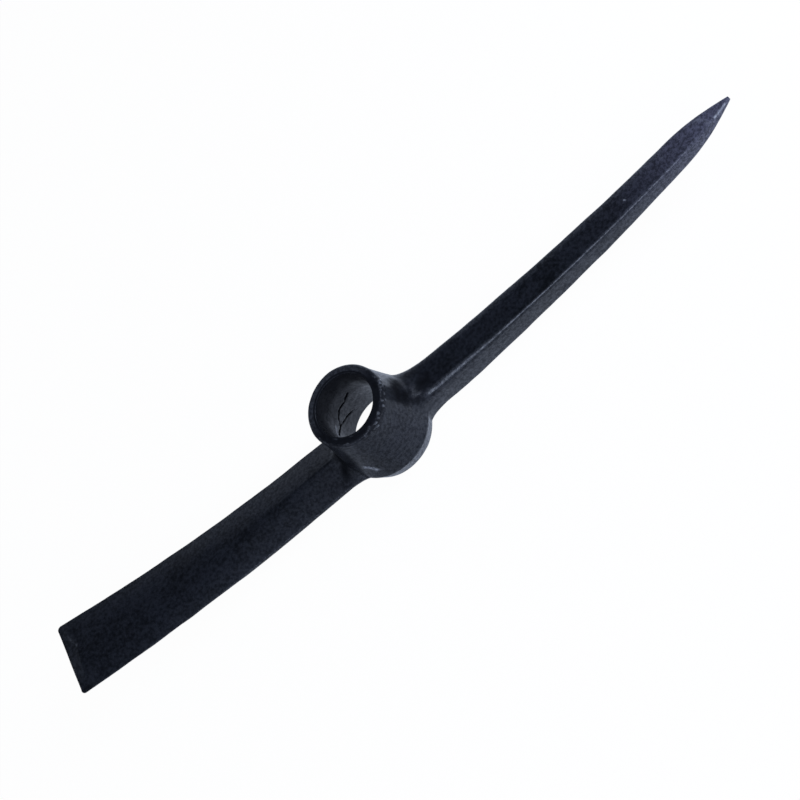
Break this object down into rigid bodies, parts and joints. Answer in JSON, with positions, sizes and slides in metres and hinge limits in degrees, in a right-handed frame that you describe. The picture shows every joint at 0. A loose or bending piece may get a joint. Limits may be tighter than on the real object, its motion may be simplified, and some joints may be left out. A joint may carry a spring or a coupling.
{
  "type": "pick axe head",
  "caption": "Pick axe head with a flared round eye for a handle, a tapering square pick arm drawn to a point, and a flat blade arm with a broad cross-cutting edge.",
  "frame": {"origin": "centre of the ring-shaped foot of the eye, in the plane that the head rests on", "axes": "+Z along the eye's axis from the foot to the rim, which is the side the handle points to; +X along the pick arm; -X along the blade arm; the cutting edge runs along Y"},
  "size_m": [0.5099, 0.06, 0.053],
  "materials": {
    "eye_paint": "semi-gloss blue-black paint over forged steel, with thin bright edges at the rim",
    "arm_paint": "semi-gloss blue-black paint over hammered and scaled steel, rubbed on the long edges",
    "ground_end_paint": "thin blue-black paint over ground steel, worn lighter at the tip and the cutting edge",
    "root_weld_paint": "semi-gloss blue-black paint over smooth hollow fillets"
  },
  "bodies": {
    "root": {"eye_socket": "eye_paint", "pick_arm": "arm_paint", "pick_point": "ground_end_paint", "pick_root_weld": "root_weld_paint", "blade_arm": "arm_paint", "blade_bit": "ground_end_paint", "blade_root_weld": "root_weld_paint"}
  },
  "joints": []
}
